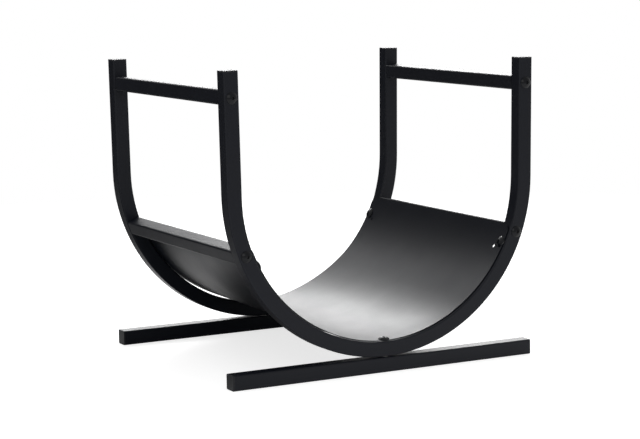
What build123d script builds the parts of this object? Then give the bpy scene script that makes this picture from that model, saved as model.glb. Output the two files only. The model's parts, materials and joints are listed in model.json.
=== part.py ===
from build123d import *
from math import cos, radians, sin, sqrt
import os

# Indoor firewood rack: two U frames of square tube on two foot bars, four crossbars and a rolled log tray.
# X runs across the U, Y from the front frame to the back one, Z up. The origin is on the floor, in the middle.
# All sizes are in millimetres.

# Bent frames
frame_tube = 20.0  # outer width of the square tube
frame_wall = 1.2
frame_corner = 2.0  # outer corner radius of the tube
bend_radius = 213.0  # to the tube's centre line
leg_straight = 155.0  # straight tube above the bend
leg_lean = 0.7  # outward lean of each leg, in degrees
frame_depth = 372.0  # from the front face of the front frame to the back face of the back one

# Foot bars
foot_tube = 20.0
foot_wall = 1.2
foot_corner = 2.0
foot_span = 442.0  # over both end caps

# Crossbars
bar_tube = 19.0
bar_wall = 1.2
bar_corner = 2.5
top_bar_drop = 31.5  # from the cut end of a leg down to the bar's centre line
top_bar_tilt = 5.0  # how far the top bars lean over towards the logs, in degrees
low_bar_angle = 21.0  # degrees round the bend, below its centre's level

# Rolled tray
tray_sheet = 1.0
tray_inset = 3.5  # from a frame's outer face in to the tray's edge
tray_end_angle = 19.5  # degrees round the bend, below its centre's level
tray_corner = 8.0
tray_bow = 2.1  # how far the sheet bows off the frame on each side of its lowest line
tray_bow_end = 52.0  # where the bow ends, in degrees round the bend from the lowest line
tray_steps = 9  # points on each half of its outline
tray_bolt_angle = 26.4
hanging_hole = 4.6  # by which the tray hangs while it is painted
hanging_angle = 28.5
hanging_margin = 1.4  # from a frame's inner side face to the middle of a hanging hole

# Domed bolts with a hexagon socket
bolt_size = 6.0
bolt_hole = 6.6
bolt_head_width = 15.0
bolt_head_height = 3.6
bolt_head_rim = 0.7
bolt_socket = 4.0
bolt_socket_depth = 2.0
bolt_grip = 9.0  # how far a bolt reaches into its nut or insert
bolt_tip = 0.6

# Threaded plugs in the crossbar ends and flanged inserts in thin walls
plug_length = 14.0
thread_fit = 0.05
insert_flange_width = 12.0
insert_flange = 0.8
insert_body = 8.8
insert_hole = 9.0
insert_bulge = 10.6
insert_length = 12.0
press_fit = 0.05

# Plastic end caps
cap_flange = 2.0
cap_edge = 0.7
cap_depth = 13.0
cap_wall = 1.6
cap_slack = 0.5
cap_fin = 0.9
cap_fins = 3

# Levels that follow from the sizes above
bend_inner = bend_radius - frame_tube / 2
bend_outer = bend_radius + frame_tube / 2
bend_level = foot_tube + insert_flange + bend_outer
frame_middle = frame_depth / 2 - frame_tube / 2
bar_length = frame_depth - 2 * frame_tube
tray_depth = frame_depth - 2 * tray_inset
foot_length = foot_span - 2 * cap_flange


def rise(width, radius):
    """Height of an arc of the given radius over a chord of the given width."""
    return radius - sqrt(radius**2 - (width / 2) ** 2)


insert_lift = rise(insert_flange_width, bend_inner)
corner_gap = insert_flange + insert_lift + press_fit
tray_inner = bend_inner - corner_gap - tray_sheet
head_lift = rise(bolt_head_width, tray_inner) + press_fit


def bend_point(side, angle, radius):
    """Place on the bend: side is -1 left or 1 right, and the angle runs down from the centre's level."""
    return Vector(side * radius * cos(radians(angle)), 0, bend_level - radius * sin(radians(angle)))


def leg_point(side, height):
    """Place on a leg's centre line, at a height along the leg above the bend."""
    lean = Vector(side * sin(radians(leg_lean)), 0, cos(radians(leg_lean)))
    return bend_point(side, leg_lean, bend_radius) + lean * height


def inward(side, angle):
    """Direction from a place on the bend to the bend's centre."""
    return Vector(-side * cos(radians(angle)), 0, sin(radians(angle)))


def save(piece, name):
    piece.part.label = name
    export_step(piece.part, f"parts/{name}.step")


def bar_place(side, level):
    """Centre of a crossbar in the XZ plane."""
    if level == "top":
        return leg_point(side, leg_straight - top_bar_drop)
    return bend_point(side, low_bar_angle, bend_radius)


def bent_frame(end):
    """One U frame, hollow all the way, for the front (end -1) or the back (end 1)."""
    middle = Vector(0, end * frame_middle, 0)
    with BuildPart() as frame:
        with BuildLine() as path:
            Line(leg_point(-1, leg_straight) + middle, leg_point(-1, 0) + middle)
            ThreePointArc(
                leg_point(-1, 0) + middle,
                bend_point(1, 90, bend_radius) + middle,
                leg_point(1, 0) + middle,
            )
            Line(leg_point(1, 0) + middle, leg_point(1, leg_straight) + middle)
        with BuildSketch(Plane(origin=path.line @ 0, x_dir=(0, 1, 0), z_dir=path.line % 0)):
            RectangleRounded(frame_tube, frame_tube, frame_corner)
            bore = frame_tube - 2 * frame_wall
            RectangleRounded(bore, bore, frame_corner - frame_wall, mode=Mode.SUBTRACT)
        sweep(path=path.line)
        # Through holes for the crossbar bolts, along Y
        for side in (-1, 1):
            for place in (bar_place(side, "top"), bar_place(side, "lower")):
                with Locations(Plane(origin=place + middle, z_dir=(0, 1, 0))):
                    Hole(bolt_hole / 2)
            # Hole for the tray's insert, in the wall that faces the logs
            seat = bend_point(side, tray_bolt_angle, bend_inner - insert_flange)
            with Locations(Plane(origin=seat + middle, z_dir=inward(side, tray_bolt_angle))):
                Hole(insert_hole / 2, depth=frame_tube / 2)
        # Hole for the foot bolt, through both walls at the lowest point
        with Locations(Plane(origin=bend_point(1, 90, bend_radius) + middle, z_dir=(0, 0, 1))):
            Hole(bolt_hole / 2)
    return frame


def bar_plane(side, level, along):
    """Plane across a crossbar at a distance along Y, with its x axis pointing away from the logs."""
    angle = -top_bar_tilt if level == "top" else low_bar_angle
    return Plane(
        origin=bar_place(side, level) + Vector(0, along, 0),
        x_dir=inward(side, angle) * -1,
        z_dir=(0, 1, 0),
    )


def foot_bar(end):
    """One straight foot bar, hollow, with a hole in its top for the insert."""
    section = Plane(origin=(0, end * frame_middle, foot_tube / 2), x_dir=(0, 1, 0), z_dir=(1, 0, 0))
    with BuildPart() as foot:
        with BuildSketch(section):
            RectangleRounded(foot_tube, foot_tube, foot_corner)
            bore = foot_tube - 2 * foot_wall
            RectangleRounded(bore, bore, foot_corner - foot_wall, mode=Mode.SUBTRACT)
        extrude(amount=foot_length / 2, both=True)
        with Locations((0, end * frame_middle, foot_tube)):
            Hole(insert_hole / 2, depth=foot_tube / 2)
    return foot


def crossbar(side, level):
    """One straight crossbar between the two frames."""
    with BuildPart() as bar:
        with BuildSketch(bar_plane(side, level, 0)):
            RectangleRounded(bar_tube, bar_tube, bar_corner)
            bore = bar_tube - 2 * bar_wall
            RectangleRounded(bore, bore, bar_corner - bar_wall, mode=Mode.SUBTRACT)
        extrude(amount=bar_length / 2, both=True)
    return bar


def crossbar_nuts(side, level):
    """The two threaded plugs fixed inside the ends of one crossbar."""
    plug = bar_tube - 2 * bar_wall - 2 * press_fit
    with BuildPart() as nuts:
        for end in (-1, 1):
            with BuildSketch(bar_plane(side, level, end * bar_length / 2)):
                RectangleRounded(plug, plug, bar_corner - bar_wall)
                Circle(bolt_size / 2 + thread_fit, mode=Mode.SUBTRACT)
            extrude(amount=-end * plug_length)
    return nuts


def domed_bolt(length):
    """A bolt along Z: the underside of its head at the origin, the head above, the shank below."""
    with BuildPart() as bolt:
        with BuildSketch(Plane.XZ):
            with BuildLine():
                rim = TangentArc(
                    (0, bolt_head_height), (bolt_head_width / 2, bolt_head_rim), tangent=(1, 0)
                )
                Polyline(
                    rim @ 1,
                    (bolt_head_width / 2, 0),
                    (bolt_size / 2, 0),
                    (bolt_size / 2, bolt_tip - length),
                    (bolt_size / 2 - bolt_tip, -length),
                    (0, -length),
                    rim @ 0,
                )
            make_face()
        revolve(axis=Axis.Z)
        with BuildSketch(Plane.XY.offset(bolt_head_height)):
            RegularPolygon(bolt_socket / 2, side_count=6, major_radius=False)
        extrude(amount=-bolt_socket_depth, mode=Mode.SUBTRACT)
    return bolt.part


def flanged_insert(wall, lift):
    """A threaded insert along Z: its flange on the origin's plane, its body below, upset behind the wall."""
    with BuildPart() as insert:
        with BuildSketch(Plane.XZ):
            with BuildLine():
                bore = bolt_size / 2 + thread_fit
                back = -(wall + lift + press_fit)
                Polyline(
                    (bore, insert_flange),
                    (insert_flange_width / 2, insert_flange),
                    (insert_flange_width / 2, 0),
                    (insert_body / 2, 0),
                    (insert_body / 2, back),
                    (insert_bulge / 2, back),
                    (insert_bulge / 2, back - (insert_bulge - insert_body)),
                    (insert_body / 2, back - 2 * (insert_bulge - insert_body)),
                    (insert_body / 2, -insert_length),
                    (bore, -insert_length),
                    close=True,
                )
            make_face()
        revolve(axis=Axis.Z)
    return insert.part


def placed(shape, planes):
    """Copies of one small part, one on each plane."""
    with BuildPart() as group:
        with Locations(*planes):
            add(shape)
    return group


def end_cap(mouth, tube, wall, corner):
    """A plastic plug in the cut end of a square tube: the plane lies on the cut, facing out."""
    bore = tube - 2 * wall
    plug = bore - cap_slack
    with BuildPart() as cap:
        with BuildSketch(mouth):
            RectangleRounded(tube, tube, corner)
        extrude(amount=cap_flange)
        crown = cap.faces().sort_by(Axis(mouth.origin, mouth.z_dir))[-1]
        fillet(crown.edges(), min(cap_edge, cap_flange / 2))
        with BuildSketch(mouth):
            Rectangle(plug, plug)
        extrude(amount=-cap_depth)
        for fin in range(cap_fins):
            with BuildSketch(mouth.offset(-(fin + 1) * cap_depth / (cap_fins + 1))):
                RectangleRounded(bore - 2 * press_fit, bore - 2 * press_fit, corner - wall)
            extrude(amount=-cap_fin)
        with BuildSketch(mouth.offset(-cap_depth)):
            Rectangle(plug - 2 * cap_wall, plug - 2 * cap_wall)
        extrude(amount=cap_depth, mode=Mode.SUBTRACT)
    return cap


def sheet_radius(turn):
    """Radius of the tray's outer surface, at a turn in degrees from its lowest line.

    The sheet touches the frames at its lowest line, stands off them by the inserts' flanges at its corner
    bolts, and bows in a little on each side of the lowest line."""
    share = radians(90) * turn / (90 - tray_bolt_angle)
    wave = radians(180) * min(abs(turn), tray_bow_end) / tray_bow_end
    gap = press_fit + (corner_gap - press_fit) * sin(share) ** 2 + tray_bow * sin(wave) ** 2
    return bend_inner - gap


def sheet_line(inset):
    """Points across the tray, on its outer surface or inset from it."""
    reach = 90 - tray_end_angle
    turns = [reach * step / tray_steps for step in range(-tray_steps, tray_steps + 1)]
    radii = [sheet_radius(turn) - inset for turn in turns]
    return [
        (radius * sin(radians(turn)), bend_level - radius * cos(radians(turn)))
        for turn, radius in zip(turns, radii)
    ]


def tray_plane(side, angle, along):
    """Plane on the tray's inner surface, facing the logs, with its x axis along the curve."""
    radius = sheet_radius(90 - angle) - tray_sheet
    return Plane(
        origin=bend_point(side, angle, radius) + Vector(0, along, 0),
        x_dir=(sin(radians(angle)), 0, side * cos(radians(angle))),
        z_dir=inward(side, angle),
    )


# Frames and foot bars
os.makedirs("parts", exist_ok=True)
ends = {"front": -1, "back": 1}
sides = {"left": -1, "right": 1}
for end_name, end in ends.items():
    save(bent_frame(end), f"{end_name}_u_frame")
    save(foot_bar(end), f"{end_name}_foot_bar")

# Crossbars with their plugs and bolts
bar_bolt = domed_bolt(frame_tube + bolt_grip)
for side_name, side in sides.items():
    for level in ("top", "lower"):
        bar_name = f"{level}_{side_name}_crossbar"
        heads = []
        for end in ends.values():
            head = bar_plane(side, level, end * frame_depth / 2)
            heads.append(Plane(origin=head.origin, x_dir=head.x_dir, z_dir=(0, end, 0)))
        save(crossbar(side, level), bar_name)
        save(crossbar_nuts(side, level), f"{bar_name}_nuts")
        save(placed(bar_bolt, heads), f"{bar_name}_bolts")

# Rolled tray
hanging_along = frame_depth / 2 - frame_tube - hanging_margin
with BuildPart() as log_tray:
    with BuildSketch(Plane.XZ):
        with BuildLine():
            outer = Spline(sheet_line(0))
            inner = Spline(sheet_line(tray_sheet))
            Line(outer @ 0, inner @ 0)
            Line(outer @ 1, inner @ 1)
        make_face()
    extrude(amount=tray_depth / 2, both=True)
    fillet(log_tray.edges().group_by(SortBy.LENGTH)[0], tray_corner)
    for end in ends.values():
        corners = [tray_plane(side, tray_bolt_angle, end * frame_middle) for side in sides.values()]
        for plane in (*corners, tray_plane(1, 90, end * frame_middle)):
            with Locations(plane.offset(tray_sheet)):
                Hole(bolt_hole / 2, depth=3 * tray_sheet)
        for side in sides.values():
            with Locations(tray_plane(side, hanging_angle, end * hanging_along).offset(tray_sheet)):
                Hole(hanging_hole / 2, depth=3 * tray_sheet)
save(log_tray, "log_tray")

# Inserts and bolts at the tray's corners
tray_insert = flanged_insert(frame_wall, insert_lift)
tray_bolt = domed_bolt(head_lift + tray_sheet + insert_flange + bolt_grip)
for side_name, side in sides.items():
    seats = []
    heads = []
    for end in ends.values():
        facing = inward(side, tray_bolt_angle)
        wall_face = bend_point(side, tray_bolt_angle, bend_inner) + Vector(0, end * frame_middle, 0)
        seats.append(Plane(origin=wall_face + facing * insert_lift, z_dir=facing))
        sheet_face = tray_plane(side, tray_bolt_angle, end * frame_middle)
        heads.append(sheet_face.offset(head_lift))
    save(placed(tray_insert, seats), f"{side_name}_tray_inserts")
    save(placed(tray_bolt, heads), f"{side_name}_tray_bolts")

# Inserts in the foot bars and the bolts that hold tray, frame and foot bar together
foot_insert = flanged_insert(foot_wall, 0)
foot_bolt = domed_bolt(head_lift + tray_sheet + frame_tube + insert_flange + bolt_grip)
foot_tops = [Plane(origin=(0, end * frame_middle, foot_tube)) for end in ends.values()]
tray_bottoms = [tray_plane(1, 90, end * frame_middle).offset(head_lift) for end in ends.values()]
save(placed(foot_insert, foot_tops), "foot_inserts")
save(placed(foot_bolt, tray_bottoms), "foot_bolts")

# Plastic caps on the leg tops and the foot ends
for end_name, end in ends.items():
    for side_name, side in sides.items():
        cut = leg_point(side, leg_straight) + Vector(0, end * frame_middle, 0)
        upward = leg_point(side, 1) - leg_point(side, 0)
        leg_mouth = Plane(origin=cut, x_dir=(0, 1, 0), z_dir=upward)
        save(end_cap(leg_mouth, frame_tube, frame_wall, frame_corner), f"{end_name}_{side_name}_leg_cap")
        foot_end = (side * foot_length / 2, end * frame_middle, foot_tube / 2)
        foot_mouth = Plane(origin=foot_end, x_dir=(0, 1, 0), z_dir=(side, 0, 0))
        save(end_cap(foot_mouth, foot_tube, foot_wall, foot_corner), f"{end_name}_{side_name}_foot_cap")
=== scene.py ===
import json
import math

import bpy
from mathutils import Matrix, Vector

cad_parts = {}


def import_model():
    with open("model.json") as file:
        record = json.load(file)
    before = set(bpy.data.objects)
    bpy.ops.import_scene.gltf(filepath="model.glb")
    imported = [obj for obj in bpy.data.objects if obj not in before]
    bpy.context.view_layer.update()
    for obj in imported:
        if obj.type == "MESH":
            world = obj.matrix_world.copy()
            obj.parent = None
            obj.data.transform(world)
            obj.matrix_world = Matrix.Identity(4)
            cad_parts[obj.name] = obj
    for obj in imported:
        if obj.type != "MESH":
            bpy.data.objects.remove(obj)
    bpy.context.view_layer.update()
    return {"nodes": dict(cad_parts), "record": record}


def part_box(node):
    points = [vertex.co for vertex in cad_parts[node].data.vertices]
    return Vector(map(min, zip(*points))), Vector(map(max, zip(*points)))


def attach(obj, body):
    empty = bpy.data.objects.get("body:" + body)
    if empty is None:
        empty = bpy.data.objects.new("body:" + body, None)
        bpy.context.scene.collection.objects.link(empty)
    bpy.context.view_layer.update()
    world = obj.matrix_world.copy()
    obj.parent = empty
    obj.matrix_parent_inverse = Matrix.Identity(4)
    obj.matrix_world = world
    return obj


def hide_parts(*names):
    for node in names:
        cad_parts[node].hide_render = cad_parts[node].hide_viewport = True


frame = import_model()

MM = 0.001

# Camera, solved from the photograph
CAMERA_YAW = math.radians(27.933)
CAMERA_PITCH = math.radians(7.605)
CAMERA_ROLL = math.radians(-0.948)
CAMERA_AIM = Vector((0.0, 0.0, 0.2))
CAMERA_DISTANCE = 2.72234
CAMERA_SHIFT_RIGHT = 0.003086
CAMERA_SHIFT_DOWN = 0.021275
CAMERA_LENS = 112.59
CAMERA_SENSOR = 36.0
CAMERA_FAR = 100.0

# Studio floor: its size, how bright the camera sees it glow, and the painted reflection and painted shade in
# its mirror image
FLOOR_RADIUS = 1.3
FLOOR_FADE = 0.5
FLOOR_PALE = 0.8
FLOOR_PAINTED_SHADE = 0.25
FLOOR_GLOW = 0.72
FLOOR_PAINTED_REFLECTION = 0.6
BACK_PAINTED_REFLECTION = 1.6

# Where the floor's mirror image is painted bright (painted reflection) or dark (painted shade): along Y in
# front of the rack, under it and behind it, and along X behind it
FRONT_ENDS = (-0.2, -0.06)
BACK_STARTS = (0.16, 0.2)
BACK_ENDS = (0.36, 0.5)
BACK_LEFT = (-0.34, -0.08)

# Surroundings: the plain light, and what the coat mirrors
WORLD_LEVEL = 0.45
DARK_SIDE = Vector((-0.5, 0.866, -0.05)).normalized()
DARK_STARTS = 0.72
DARK_FULL = 0.9
DARK_LEVEL = 0.05
FRONT_LEVEL = 0.6
FRONT_TO_BACK = (-0.5, 0.3)
LAMP_AIM = Vector((0.0, 0.0, 0.1))

# The tray's bow off the frames, as in the CAD, and the share of it that the front bolt pulls out
BEND_LEVEL = 0.2438
TRAY_BOW = 0.0021
TRAY_BOW_END = math.radians(52)
FRONT_PULL = 0.8

# Black powder coat
COAT_DARK = (0.0036, 0.0046, 0.0086)
COAT_LIGHT = (0.0054, 0.0066, 0.0112)
COAT_DUST = (0.012, 0.013, 0.016)
COAT_WORN = (0.026, 0.027, 0.031)
COAT_GLOSS = 0.22

# Oxidised bolts
BOLT_DARK = (0.0035, 0.0040, 0.0060)
BOLT_LIGHT = (0.0070, 0.0078, 0.0100)
BOLT_WORN = (0.030, 0.031, 0.034)
BOLT_GLOSS = 0.19

# Zinc plate
ZINC_COOL = (0.56, 0.57, 0.58)
ZINC_WARM = (0.70, 0.69, 0.64)

# Plastic caps
CAP_DARK = (0.0060, 0.0068, 0.0095)
CAP_LIGHT = (0.0090, 0.0100, 0.0130)
CAP_WORN = (0.026, 0.027, 0.030)
CAP_GLOSS = 0.3


def new_material(name):
    """An empty node material with an output and a principled shader."""
    mat = bpy.data.materials.new(name)
    mat.use_nodes = True
    tree = mat.node_tree
    tree.nodes.clear()
    out = tree.nodes.new("ShaderNodeOutputMaterial")
    shader = tree.nodes.new("ShaderNodeBsdfPrincipled")
    tree.links.new(shader.outputs["BSDF"], out.inputs["Surface"])
    return mat, tree, shader


def noise(tree, size, detail, rough=0.5):
    """Noise in object space whose blobs are about the given size in metres."""
    place = tree.nodes.new("ShaderNodeTexCoord")
    mapping = tree.nodes.new("ShaderNodeMapping")
    mapping.inputs["Scale"].default_value = [1 / size] * 3
    tree.links.new(place.outputs["Object"], mapping.inputs["Vector"])
    tex = tree.nodes.new("ShaderNodeTexNoise")
    tex.inputs["Scale"].default_value = 1.0
    tex.inputs["Detail"].default_value = detail
    tex.inputs["Roughness"].default_value = rough
    tree.links.new(mapping.outputs["Vector"], tex.inputs["Vector"])
    return tex.outputs["Fac"]


def remap(tree, value, low, high, to_low, to_high):
    """A value taken from one range to another, clamped."""
    node = tree.nodes.new("ShaderNodeMapRange")
    node.inputs["From Min"].default_value = low
    node.inputs["From Max"].default_value = high
    node.inputs["To Min"].default_value = to_low
    node.inputs["To Max"].default_value = to_high
    tree.links.new(value, node.inputs["Value"])
    return node.outputs["Result"]


def combine(tree, operation, a, b):
    """Math on two values; each is a socket or a plain number."""
    node = tree.nodes.new("ShaderNodeMath")
    node.operation = operation
    for socket, value in zip(node.inputs, (a, b)):
        if isinstance(value, (int, float)):
            socket.default_value = value
        else:
            tree.links.new(value, socket)
    return node.outputs["Value"]


def mix_colors(tree, fac, first, second):
    """A blend of two colours, each a socket or a tuple."""
    node = tree.nodes.new("ShaderNodeMix")
    node.data_type = "RGBA"
    tree.links.new(fac, node.inputs["Factor"])
    for socket, value in ((node.inputs["A"], first), (node.inputs["B"], second)):
        if isinstance(value, tuple):
            socket.default_value = (*value, 1)
        else:
            tree.links.new(value, socket)
    return node.outputs["Result"]


def bump(tree, shader, height, distance, strength, after=None):
    """Relief on a shader's normal; returns the normal so that a finer relief can follow."""
    node = tree.nodes.new("ShaderNodeBump")
    node.inputs["Distance"].default_value = distance
    node.inputs["Strength"].default_value = strength
    tree.links.new(height, node.inputs["Height"])
    if after is not None:
        tree.links.new(after, node.inputs["Normal"])
    tree.links.new(node.outputs["Normal"], shader.inputs["Normal"])
    return node.outputs["Normal"]


def edge_mask(tree, radius):
    """About 1 on outside edges and 0 on flats, from the normal smoothed over a small radius."""
    smooth = tree.nodes.new("ShaderNodeBevel")
    smooth.samples = 4
    smooth.inputs["Radius"].default_value = radius
    geometry = tree.nodes.new("ShaderNodeNewGeometry")
    dot = tree.nodes.new("ShaderNodeVectorMath")
    dot.operation = "DOT_PRODUCT"
    tree.links.new(smooth.outputs["Normal"], dot.inputs[0])
    tree.links.new(geometry.outputs["Normal"], dot.inputs[1])
    return remap(tree, dot.outputs["Value"], 0.995, 0.93, 0.0, 1.0)


def powder_coat():
    """Satin black powder coat: slow tone changes, fine orange peel, thin and rubbed on the edges."""
    mat, tree, shader = new_material("black_powder_coat")
    slow = noise(tree, 45 * MM, 3)
    fine = noise(tree, 0.9 * MM, 2)
    peel = noise(tree, 1.6 * MM, 1.5)
    dust = noise(tree, 6 * MM, 6, 0.7)
    base = mix_colors(tree, slow, COAT_DARK, COAT_LIGHT)
    flecks = remap(tree, dust, 0.62, 0.75, 0.0, 0.25)
    base = mix_colors(tree, flecks, base, COAT_DUST)
    uneven = remap(tree, dust, 0.35, 0.65, 0.15, 0.7)
    rubbed = combine(tree, "MULTIPLY", edge_mask(tree, 1.0 * MM), uneven)
    base = mix_colors(tree, rubbed, base, COAT_WORN)
    tree.links.new(base, shader.inputs["Base Color"])
    rough = remap(tree, slow, 0.3, 0.7, 0.40, 0.44)
    rough = combine(tree, "ADD", rough, remap(tree, fine, 0.3, 0.7, -0.02, 0.02))
    rough = combine(tree, "SUBTRACT", rough, combine(tree, "MULTIPLY", rubbed, 0.06))
    tree.links.new(rough, shader.inputs["Roughness"])
    shader.inputs["Specular IOR Level"].default_value = COAT_GLOSS
    normal = bump(tree, shader, peel, 0.06 * MM, 0.35)
    bump(tree, shader, fine, 0.02 * MM, 0.25, after=normal)
    return mat


def bolt_black():
    """Black oxide on steel: smoother than the tubes, cloudy, with a rubbed rim and fine relief."""
    mat, tree, shader = new_material("black_bolt")
    slow = noise(tree, 4 * MM, 3)
    fine = noise(tree, 0.6 * MM, 2)
    base = mix_colors(tree, slow, BOLT_DARK, BOLT_LIGHT)
    uneven = remap(tree, slow, 0.3, 0.7, 0.2, 0.9)
    rubbed = combine(tree, "MULTIPLY", edge_mask(tree, 0.5 * MM), uneven)
    base = mix_colors(tree, rubbed, base, BOLT_WORN)
    tree.links.new(base, shader.inputs["Base Color"])
    tree.links.new(remap(tree, slow, 0.3, 0.7, 0.16, 0.24), shader.inputs["Roughness"])
    shader.inputs["Specular IOR Level"].default_value = BOLT_GLOSS
    bump(tree, shader, fine, 0.02 * MM, 0.3)
    return mat


def zinc_plate():
    """Bright zinc on the inserts and threaded plugs, with cloudy passivation."""
    mat, tree, shader = new_material("zinc_insert")
    cloud = noise(tree, 3 * MM, 4, 0.6)
    fine = noise(tree, 0.5 * MM, 2)
    base = mix_colors(tree, cloud, ZINC_COOL, ZINC_WARM)
    tree.links.new(base, shader.inputs["Base Color"])
    tree.links.new(remap(tree, cloud, 0.3, 0.7, 0.28, 0.45), shader.inputs["Roughness"])
    shader.inputs["Metallic"].default_value = 1.0
    bump(tree, shader, fine, 0.02 * MM, 0.3)
    return mat


def moulded_plastic():
    """Black moulded plastic with a fine spark-eroded grain and slightly polished edges."""
    mat, tree, shader = new_material("black_cap")
    slow = noise(tree, 8 * MM, 3)
    grain = noise(tree, 0.5 * MM, 3, 0.6)
    base = mix_colors(tree, slow, CAP_DARK, CAP_LIGHT)
    uneven = remap(tree, slow, 0.3, 0.7, 0.2, 0.8)
    rubbed = combine(tree, "MULTIPLY", edge_mask(tree, 0.5 * MM), uneven)
    base = mix_colors(tree, rubbed, base, CAP_WORN)
    tree.links.new(base, shader.inputs["Base Color"])
    rough = remap(tree, grain, 0.3, 0.7, 0.48, 0.58)
    rough = combine(tree, "SUBTRACT", rough, combine(tree, "MULTIPLY", rubbed, 0.12))
    tree.links.new(rough, shader.inputs["Roughness"])
    shader.inputs["Specular IOR Level"].default_value = CAP_GLOSS
    bump(tree, shader, grain, 0.04 * MM, 0.5)
    return mat


def dress(materials):
    """Gives each CAD node the material of its slot."""
    for entry in frame["record"]["subparts"]:
        node = frame["nodes"][entry["node"]]
        node.data.materials.clear()
        node.data.materials.append(materials[entry["material_slot"]])


def seated_tray():
    """The log tray with its front edge pulled down onto the front frame, as the photograph shows it.

    The bow is nearly gone at the front edge and grows evenly to its full height at the back edge."""
    node = frame["nodes"]["log_tray"]
    front, back = (corner[1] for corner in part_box("log_tray"))
    tray = bpy.data.objects.new("seated_tray", node.data.copy())
    bpy.context.scene.collection.objects.link(tray)
    for vertex in tray.data.vertices:
        turn = math.atan2(vertex.co.x, BEND_LEVEL - vertex.co.z)
        if abs(turn) < TRAY_BOW_END:
            bow = TRAY_BOW * math.sin(math.pi * turn / TRAY_BOW_END) ** 2
            pull = FRONT_PULL * (back - vertex.co.y) / (back - front)
            vertex.co += Vector((math.sin(turn), 0, -math.cos(turn))) * bow * pull
    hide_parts("log_tray")
    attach(tray, "root")


def painted_reflection_brightness(tree, place):
    """Painted reflection on the floor: how bright its mirror image is painted, 1 in front of the rack and
    more right behind it, else 0.
    """
    axes = tree.nodes.new("ShaderNodeSeparateXYZ")
    tree.links.new(place.outputs["Object"], axes.inputs["Vector"])
    front = remap(tree, axes.outputs["Y"], *FRONT_ENDS, 1.0, 0.0)
    right = remap(tree, axes.outputs["X"], *BACK_LEFT, 0.0, 1.0)
    behind = remap(tree, axes.outputs["Y"], *BACK_STARTS, 0.0, 1.0)
    near = remap(tree, axes.outputs["Y"], *BACK_ENDS, 1.0, 0.0)
    back = combine(tree, "MULTIPLY", right, combine(tree, "MULTIPLY", behind, near))
    return combine(tree, "MAXIMUM", front, combine(tree, "MULTIPLY", back, BACK_PAINTED_REFLECTION))


def direct_rays(tree, path):
    """1 for rays that come straight from the camera or through a clear piece."""
    return combine(tree, "MAXIMUM", path.outputs["Is Camera Ray"], path.outputs["Is Transmission Ray"])


def floor_material():
    """Pale and matt, lifted towards white where it is seen, fading out at its rim; its mirror image has
    painted reflection and painted shade.
    """
    mat = bpy.data.materials.new("studio_floor")
    mat.use_nodes = True
    tree = mat.node_tree
    tree.nodes.clear()
    out = tree.nodes.new("ShaderNodeOutputMaterial")
    diffuse = tree.nodes.new("ShaderNodeBsdfDiffuse")
    glow = tree.nodes.new("ShaderNodeEmission")
    lit = tree.nodes.new("ShaderNodeAddShader")
    path = tree.nodes.new("ShaderNodeLightPath")
    place = tree.nodes.new("ShaderNodeTexCoord")
    mirrored = path.outputs["Is Glossy Ray"]
    bright = painted_reflection_brightness(tree, place)
    # Painted shade: in reflections the floor is darkened wherever it isn't painted bright, under the rack too
    painted_mirror_shade = combine(tree, "MULTIPLY", mirrored, combine(tree, "SUBTRACT", 1.0, bright))
    pale = remap(tree, painted_mirror_shade, 0.0, 1.0, FLOOR_PALE, FLOOR_PAINTED_SHADE)
    tree.links.new(pale, diffuse.inputs["Color"])
    # Painted reflection: the floor glows for glossy rays only, in front of and behind the rack
    painted_reflection_glow = combine(tree, "MULTIPLY", combine(tree, "MULTIPLY", mirrored, bright), FLOOR_PAINTED_REFLECTION)
    seen_glow = combine(tree, "MULTIPLY", direct_rays(tree, path), FLOOR_GLOW)
    tree.links.new(combine(tree, "ADD", seen_glow, painted_reflection_glow), glow.inputs["Strength"])
    tree.links.new(diffuse.outputs["BSDF"], lit.inputs[0])
    tree.links.new(glow.outputs["Emission"], lit.inputs[1])
    away = tree.nodes.new("ShaderNodeVectorMath")
    away.operation = "LENGTH"
    tree.links.new(place.outputs["Object"], away.inputs[0])
    fade = remap(tree, away.outputs["Value"], FLOOR_RADIUS, FLOOR_RADIUS + FLOOR_FADE, 0.0, 1.0)
    clear = tree.nodes.new("ShaderNodeBsdfTransparent")
    mix = tree.nodes.new("ShaderNodeMixShader")
    tree.links.new(fade, mix.inputs["Fac"])
    tree.links.new(lit.outputs["Shader"], mix.inputs[1])
    tree.links.new(clear.outputs["BSDF"], mix.inputs[2])
    tree.links.new(mix.outputs["Shader"], out.inputs["Surface"])
    return mat


def studio_floor():
    """A pale floor that takes the rack's shadow and fades into the white surroundings."""
    reach = FLOOR_RADIUS + FLOOR_FADE
    mesh = bpy.data.meshes.new("studio_floor")
    corners = [(-reach, -reach, 0), (reach, -reach, 0), (reach, reach, 0), (-reach, reach, 0)]
    mesh.from_pydata(corners, [], [(0, 1, 2, 3)])
    mesh.materials.append(floor_material())
    floor = bpy.data.objects.new("studio_floor", mesh)
    bpy.context.scene.collection.objects.link(floor)


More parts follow.
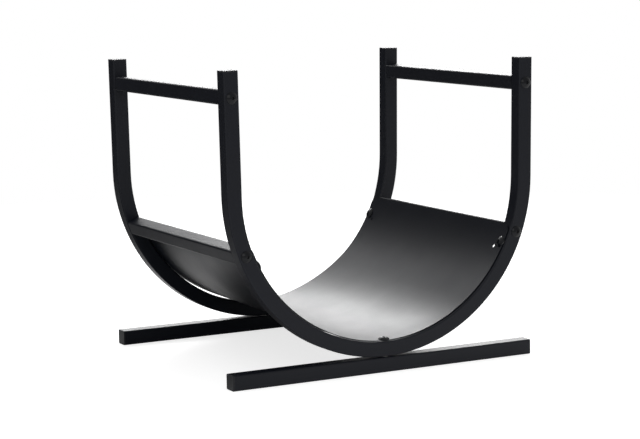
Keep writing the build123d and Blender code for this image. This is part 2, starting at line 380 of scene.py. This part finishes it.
def world():
    """White where it is seen, dimmer in places where it is mirrored, and a plain grey as light."""
    sky = bpy.data.worlds.new("studio")
    sky.use_nodes = True
    tree = sky.node_tree
    background = tree.nodes["Background"]
    background.inputs["Color"].default_value = (1, 1, 1, 1)
    place = tree.nodes.new("ShaderNodeTexCoord")
    towards = tree.nodes.new("ShaderNodeVectorMath")
    towards.operation = "DOT_PRODUCT"
    towards.inputs[1].default_value = DARK_SIDE
    tree.links.new(place.outputs["Generated"], towards.inputs[0])
    axes = tree.nodes.new("ShaderNodeSeparateXYZ")
    tree.links.new(place.outputs["Generated"], axes.inputs["Vector"])
    side = remap(tree, towards.outputs["Value"], DARK_STARTS, DARK_FULL, 1.0, DARK_LEVEL)
    depth = remap(tree, axes.outputs["Y"], *FRONT_TO_BACK, FRONT_LEVEL, 1.0)
    path = tree.nodes.new("ShaderNodeLightPath")
    direct = direct_rays(tree, path)
    mirrored = path.outputs["Is Glossy Ray"]
    glossy = combine(tree, "MULTIPLY", combine(tree, "MULTIPLY", side, depth), mirrored)
    bright = combine(tree, "MAXIMUM", direct, glossy)
    shown = combine(tree, "MAXIMUM", direct, mirrored)
    level = combine(tree, "MULTIPLY", combine(tree, "SUBTRACT", 1.0, shown), WORLD_LEVEL)
    tree.links.new(combine(tree, "ADD", bright, level), background.inputs["Strength"])
    bpy.context.scene.world = sky


def softbox(name, turn, up, away, width, height, brightness):
    """A rectangular studio lamp aimed at the rack, which the camera doesn't see.

    It stands at a turn in degrees from straight behind the rack towards its right, and so many degrees up."""
    lamp = bpy.data.lights.new(name, "AREA")
    lamp.shape = "RECTANGLE"
    lamp.size = width
    lamp.size_y = height
    lamp.energy = brightness * math.pi * width * height
    turn = math.radians(turn)
    rise = math.radians(up)
    towards = Vector((math.sin(turn) * math.cos(rise), math.cos(turn) * math.cos(rise), math.sin(rise)))
    obj = bpy.data.objects.new(name, lamp)
    obj.location = LAMP_AIM + towards * away
    obj.visible_camera = False
    obj.rotation_euler = (-towards).to_track_quat("-Z", "Y").to_euler()
    bpy.context.scene.collection.objects.link(obj)


def camera():
    """The camera at the photograph's place."""
    flat = Vector((math.sin(CAMERA_YAW), math.cos(CAMERA_YAW), 0))
    forward = flat * math.cos(CAMERA_PITCH) - Vector((0, 0, math.sin(CAMERA_PITCH)))
    level = Vector((math.cos(CAMERA_YAW), -math.sin(CAMERA_YAW), 0))
    upright = level.cross(forward)
    right = level * math.cos(CAMERA_ROLL) + upright * math.sin(CAMERA_ROLL)
    up = upright * math.cos(CAMERA_ROLL) - level * math.sin(CAMERA_ROLL)
    data = bpy.data.cameras.new("photo_camera")
    data.sensor_width = CAMERA_SENSOR
    data.lens = CAMERA_LENS
    data.clip_end = CAMERA_FAR
    cam = bpy.data.objects.new("photo_camera", data)
    place = CAMERA_AIM - forward * CAMERA_DISTANCE + right * CAMERA_SHIFT_RIGHT - up * CAMERA_SHIFT_DOWN
    turn = Matrix((right, up, -forward)).transposed()
    cam.matrix_world = Matrix.Translation(place) @ turn.to_4x4()
    scene = bpy.context.scene
    scene.collection.objects.link(cam)
    scene.camera = cam


dress(
    {
        "black_powder_coat": powder_coat(),
        "black_bolt": bolt_black(),
        "zinc_insert": zinc_plate(),
        "black_cap": moulded_plastic(),
    }
)
seated_tray()
studio_floor()
world()
softbox("back_softbox", turn=31, up=30, away=5.0, width=2.8, height=1.8, brightness=12.8)
softbox("side_softbox", turn=-12, up=33, away=5.0, width=1.4, height=1.2, brightness=3.0)
softbox("front_softbox", turn=-150, up=25, away=3.3, width=1.6, height=1.6, brightness=1.25)
camera()

scene = bpy.context.scene
scene.view_settings.view_transform = "Standard"
